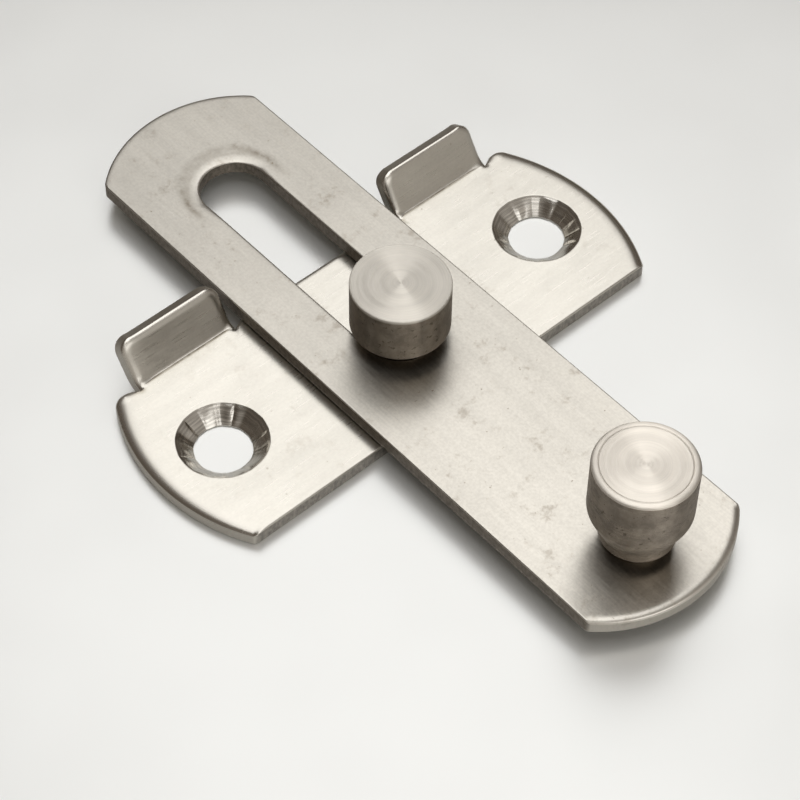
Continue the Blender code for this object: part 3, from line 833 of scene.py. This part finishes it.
BAR_SIDE_ROLL = (0.20, 0.16)
BAR_TAIL_ROLL = (0.75, 0.10)
BAR_HEAD_ROLL = (1.05, 0.5)
SLOT_END_ROLL = (1.45, 0.34)
SLOT_SIDE_ROLL = (0.45, 0.16)
WEAR_START, WEAR_LENGTH = 4.0, 6.0       # where the worn rim starts before the slot's round end
SLOT_SHADE = 0.9                         # the ring of painted shade: its strength, place and width
SHADE_FROM_SLOT, SHADE_WIDTH = 1.95, 0.5
# The bar's wall colour is darker than the plate's: sheared steel, and painted shade on its sides
# and in its slot.
BAR_FACE, BAR_WALL_AND_SHADE = (0.665, 0.635, 0.572), (0.31, 0.27, 0.225)
BAR_ROUGHNESS, BAR_SEED, BAR_MARKS = 0.33, 0.3, 1.3
# Painted shade that darkens the bar towards its tail: (y, share) twice.
BAR_SHADE_ALONG = ((-50, 1.0), (32, 0.76))

bar_bottom, bar_top = bar_low[2], bar_high[2]
bar_tail, bar_head = bar_high[1], bar_low[1]
slot_end = TRAVEL
knob_y = bar_head + KNOB_FROM_END

tail_rows = strip_end(BAR_WIDTH / 2, BAR_END_RADIUS, bar_tail, (BAR_CORNER, BAR_CORNER),
                      (BAR_SEAM, BAR_SEAM), (BAR_SIDE_ROLL, BAR_TAIL_ROLL, BAR_SIDE_ROLL))
head_rows = strip_end(BAR_WIDTH / 2, BAR_END_RADIUS, -bar_head, (BAR_CORNER, BAR_CORNER),
                      (-BAR_SEAM, -BAR_SEAM), (BAR_SIDE_ROLL, BAR_HEAD_ROLL, BAR_SIDE_ROLL))
head_rows[:, :2] *= -1
bar_left, bar_right = (-BAR_WIDTH / 2, BAR_SEAM), (BAR_WIDTH / 2, BAR_SEAM)
slot_outline = closed(tail_rows, seam(graded(bar_left, bar_right)))
knob_outline = closed(head_rows, seam(graded(bar_right, bar_left)))
towards_end = smooth((slot_outline[:, 1] - slot_end + WEAR_START) / WEAR_LENGTH)[:, None]
slot_roll = (1 - towards_end) * SLOT_SIDE_ROLL + towards_end * SLOT_END_ROLL


def slot_shade_ring(from_slot):
    """A ring of painted shade outside the burnished rim at the slot's far end: a bell."""
    bell = np.exp(-((from_slot - SHADE_FROM_SLOT) / SHADE_WIDTH) ** 2)
    return SLOT_SHADE * towards_end[:, 0] * bell


bar_thickness = bar_top - bar_bottom
slot_wall = [(SLOT_RADIUS, bar_bottom + share * bar_thickness) for share in (1, 0.75, 0.5, 0.25, 0)]
knob_wall = [(KNOB_HOLE_RADIUS, bar_top), (KNOB_HOLE_RADIUS, bar_bottom + KNOB_HOLE_SINK),
             (KNOB_HOLE_RADIUS + KNOB_HOLE_SINK, bar_bottom)]
# The slot's far rim is painted bright and ringed with painted shade.
bar = mesh_piece("bar_strip", [
    *patch(slot_outline, [slot_outline], (0, 0, slot_end), slot_wall, bar_thickness, bar_bottom,
           (0, 1), slot_roll, ring_shade=slot_shade_ring),
    *patch(knob_outline, [knob_outline], (0, knob_y, knob_y), knob_wall, bar_thickness, bar_bottom,
           (0, 1)),
])
bar.data.materials.append(brushed_sheet("brushed_bar", BAR_FACE, BAR_WALL_AND_SHADE, BAR_ROUGHNESS,
                                        BAR_SEED, BAR_SHADE_ALONG, BAR_MARKS))
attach(bar, "bolt")
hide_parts("slide_bar")

# ---- pull knob -------------------------------------------------------------------------------
# A finger knob turned from stainless bar. Below its straight side it tapers to a short collar,
# which stands on a thinner neck, and its tenon is riveted through the bar.

KNOB_RADIUS = 6.3
KNOB_TAPER = (6.4, 2.9)                  # heights above the bar where the taper starts and ends
COLLAR_HEIGHT, COLLAR_RADIUS = 1.5, 4.7
KNOB_NECK_RADIUS = 3.6
KNOB_RIM_WIDTH, KNOB_RIM_DROP = 0.9, 0.36
RIM_CURVE = 0.8                          # how far out the rim stays nearly level
RIM_START, RIM_FALL, RIM_FOOT = 0.01, 0.02, 0.05   # its drop at the groove and at its two bends
KNOB_EDGE = 0.07                         # how far the rim's outer edge is broken
GROOVE_WIDTH, GROOVE_DEPTH = 0.07, 0.05
KNOB_DISH = 0.03                         # how far the face is hollowed at its middle
BEND_UP, BEND_IN, BEND_DOWN = 0.5, 0.2, 0.45       # the rounding where the taper starts
COLLAR_EDGE_IN, COLLAR_EDGE_UP = 0.3, 0.35         # the rounding under the collar
KNOB_SHOULDER_GAP = 0.02
KNOB_TENON_RADIUS = 2.76
DISH_SPACING, GROOVE_SPACING = 0.18, 0.03
# The outer wall's darker, browner colour is partly the rougher skin and partly painted shade.
KNOB_FACE, KNOB_WALL_AND_SHADE = (0.84, 0.79, 0.71), (0.40, 0.35, 0.295)
KNOB_ROUGHNESS = 0.33

knob_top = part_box("pull_knob")[1].z / MM
taper_top, taper_foot = (bar_top + height for height in KNOB_TAPER)
collar = bar_top + COLLAR_HEIGHT
groove = KNOB_RADIUS - KNOB_RIM_WIDTH
rim_low = knob_top - KNOB_RIM_DROP
rim_foot = rim_low - KNOB_EDGE - RIM_FOOT
shoulder = bar_top + KNOB_SHOULDER_GAP
knob_profile = np.vstack([
    chained(DISH_SPACING, (0, knob_top - KNOB_DISH), (groove - GROOVE_WIDTH, knob_top)),
    chained(GROOVE_SPACING, (groove - GROOVE_WIDTH, knob_top), (groove, knob_top - GROOVE_DEPTH),
            (groove + GROOVE_WIDTH, knob_top - RIM_START)),
    corner((groove + GROOVE_WIDTH, knob_top - RIM_START), (groove + RIM_CURVE, knob_top - RIM_FALL),
           (KNOB_RADIUS - KNOB_EDGE, rim_low)),
    corner((KNOB_RADIUS - KNOB_EDGE, rim_low), (KNOB_RADIUS, rim_low - RIM_FALL),
           (KNOB_RADIUS, rim_foot)),
    chained(TURNED_SPACING, (KNOB_RADIUS, rim_foot), (KNOB_RADIUS, taper_top + BEND_UP)),
    corner((KNOB_RADIUS, taper_top + BEND_UP), (KNOB_RADIUS, taper_top),
           (KNOB_RADIUS - BEND_IN, taper_top - BEND_DOWN)),
    chained(FINE_TURNED, (KNOB_RADIUS - BEND_IN, taper_top - BEND_DOWN),
            (COLLAR_RADIUS, taper_foot), (COLLAR_RADIUS, collar + COLLAR_EDGE_UP)),
    corner((COLLAR_RADIUS, collar + COLLAR_EDGE_UP), (COLLAR_RADIUS, collar),
           (COLLAR_RADIUS - COLLAR_EDGE_IN, collar)),
    chained(FINE_TURNED, (COLLAR_RADIUS - COLLAR_EDGE_IN, collar), (KNOB_NECK_RADIUS, collar),
            (KNOB_NECK_RADIUS, shoulder), (KNOB_TENON_RADIUS, shoulder)),
    tenon(KNOB_TENON_RADIUS, shoulder, KNOB_HOLE_SINK, bar_bottom),
])
knob = mesh_piece("knob_turning", [turned(knob_profile, (0, knob_y), bar_top,
                                          (collar + COLLAR_EDGE_UP / 2, rim_low))])
knob.data.materials.append(turned_steel("turned_knob", KNOB_FACE, KNOB_WALL_AND_SHADE, KNOB_ROUGHNESS))
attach(knob, "bolt")
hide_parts("pull_knob")

# ---- floor, lights and camera ----------------------------------------------------------------
# The latch lies on a pale satin table. One large soft box hangs over it, a little behind and to
# the right, and two small cards stand in front. The rest of the room is a dim warm grey.

FLOOR_HALF, FLOOR_DROP = 1500.0, 0.05
FLOOR_COLOUR = (0.85, 0.86, 0.845, 1)
FLOOR_METALLIC = 0.5
FLOOR_ROUGHNESS = (0.30, 0.34)
FLOOR_CLOUDS, FLOOR_SATIN = (9, 3), (30, 2)
ROOM_DARK = (0.105, 0.088, 0.072)
ROOM_LIGHT = (0.44, 0.41, 0.375)
ROOM_LIGHT_SIDE = (0.0, -0.99, 0.1)      # the way to the room's light side, in front
ROOM_FADE = (-0.1, 1.0)                  # cosines, between which the dark side turns light
BOX_AZIMUTH, BOX_ELEVATION = math.radians(42), math.radians(74)
BOX_DISTANCE = 0.5
BOX_WIDTH, BOX_LENGTH = 0.42, 0.75
BOX_RADIANCE = 1.5
CARD_AZIMUTH, CARD_ELEVATION = math.radians(184), math.radians(30)
CARD_WIDTH, CARD_HEIGHT = 0.3, 0.2
CARD_RADIANCE = 1.1
FILL_AZIMUTH, FILL_ELEVATION = math.radians(215), math.radians(48)
FILL_WIDTH, FILL_HEIGHT = 0.14, 0.1
FILL_RADIANCE = 1.0

VIEW_AIM = Vector((-4.89, -5.55, 0)) * MM
VIEW_AZIMUTH, VIEW_ELEVATION = math.radians(42.242), math.radians(51.691)
VIEW_ROLL = math.radians(0.84)
VIEW_DISTANCE = 0.3238
VIEW_LENS = 118.31
CLIP_NEAR, CLIP_FAR = 0.01, 10


def pale_table():
    """A pale satin top, half metallic: half its light is scattered and half softly mirrored."""
    material = bpy.data.materials.new("pale_table")
    material.use_nodes = True
    tree = material.node_tree
    shader = tree.nodes["Principled BSDF"]
    shader.inputs["Metallic"].default_value = FLOOR_METALLIC
    here = add(tree, "TexCoord").outputs["Object"]
    cloud = ranged(tree, noise(tree, here, *FLOOR_CLOUDS), *MIDDLE, 0.98, 1.02)
    tree.links.new(blended(tree, 1, FLOOR_COLOUR, cloud, "MULTIPLY"), shader.inputs["Base Color"])
    rough = ranged(tree, noise(tree, here, *FLOOR_SATIN), *MIDDLE, *FLOOR_ROUGHNESS)
    tree.links.new(rough, shader.inputs["Roughness"])
    return material


def looking(azimuth, elevation):
    """The level direction turned by the azimuth from +Y towards +X, then tilted down."""
    return Vector((math.sin(azimuth) * math.cos(elevation),
                   math.cos(azimuth) * math.cos(elevation), -math.sin(elevation)))


def soft_box(name, azimuth, elevation, distance, size, radiance):
    """A lamp on the line that leaves the latch at an azimuth and elevation, facing it."""
    lamp = bpy.data.lights.new(name, "AREA")
    lamp.shape = "RECTANGLE"
    lamp.size, lamp.size_y = size
    lamp.energy = radiance * math.pi * size[0] * size[1]
    holder = bpy.data.objects.new(name, lamp)
    away = looking(azimuth, -elevation)
    holder.location = away * distance
    holder.rotation_euler = away.to_track_quat("Z", "Y").to_euler()
    bpy.context.scene.collection.objects.link(holder)


def room_light():
    """The room all round: its colour changes evenly from its dark side to its light side."""
    room = bpy.data.worlds.new("room")
    room.use_nodes = True
    tree = room.node_tree
    way = add(tree, "TexCoord").outputs["Generated"]
    facing = add(tree, "VectorMath", {0: way, 1: ROOM_LIGHT_SIDE}, operation="DOT_PRODUCT")
    share = ranged(tree, facing.outputs["Value"], *ROOM_FADE)
    colour = blended(tree, share, (*ROOM_DARK, 1), (*ROOM_LIGHT, 1))
    tree.links.new(colour, tree.nodes["Background"].inputs["Color"])
    return room


level = np.array([[-1, -1], [1, -1], [1, 1], [-1, 1]]) * FLOOR_HALF * MM
floor_mesh = bpy.data.meshes.new("table_top")
floor_mesh.from_pydata(np.column_stack([level, np.full(4, -FLOOR_DROP * MM)]), [], [(0, 1, 2, 3)])
floor_mesh.materials.append(pale_table())
floor = bpy.data.objects.new("table_top", floor_mesh)
bpy.context.scene.collection.objects.link(floor)

bpy.context.scene.world = room_light()
soft_box("overhead_box", BOX_AZIMUTH, BOX_ELEVATION, BOX_DISTANCE, (BOX_WIDTH, BOX_LENGTH),
         BOX_RADIANCE)
soft_box("front_card", CARD_AZIMUTH, CARD_ELEVATION, BOX_DISTANCE, (CARD_WIDTH, CARD_HEIGHT),
         CARD_RADIANCE)
soft_box("fill_card", FILL_AZIMUTH, FILL_ELEVATION, BOX_DISTANCE, (FILL_WIDTH, FILL_HEIGHT),
         FILL_RADIANCE)

lens = bpy.data.cameras.new("camera")
lens.lens = VIEW_LENS
lens.clip_start, lens.clip_end = CLIP_NEAR, CLIP_FAR
camera = bpy.data.objects.new("camera", lens)
forward = looking(VIEW_AZIMUTH, VIEW_ELEVATION)
camera.location = VIEW_AIM - forward * VIEW_DISTANCE
camera.rotation_mode = "QUATERNION"
camera.rotation_quaternion = (forward.to_track_quat("-Z", "Y")
                              @ Quaternion((0, 0, 1), VIEW_ROLL))
bpy.context.scene.collection.objects.link(camera)
bpy.context.scene.camera = camera
bpy.context.scene.view_settings.view_transform = "Standard"
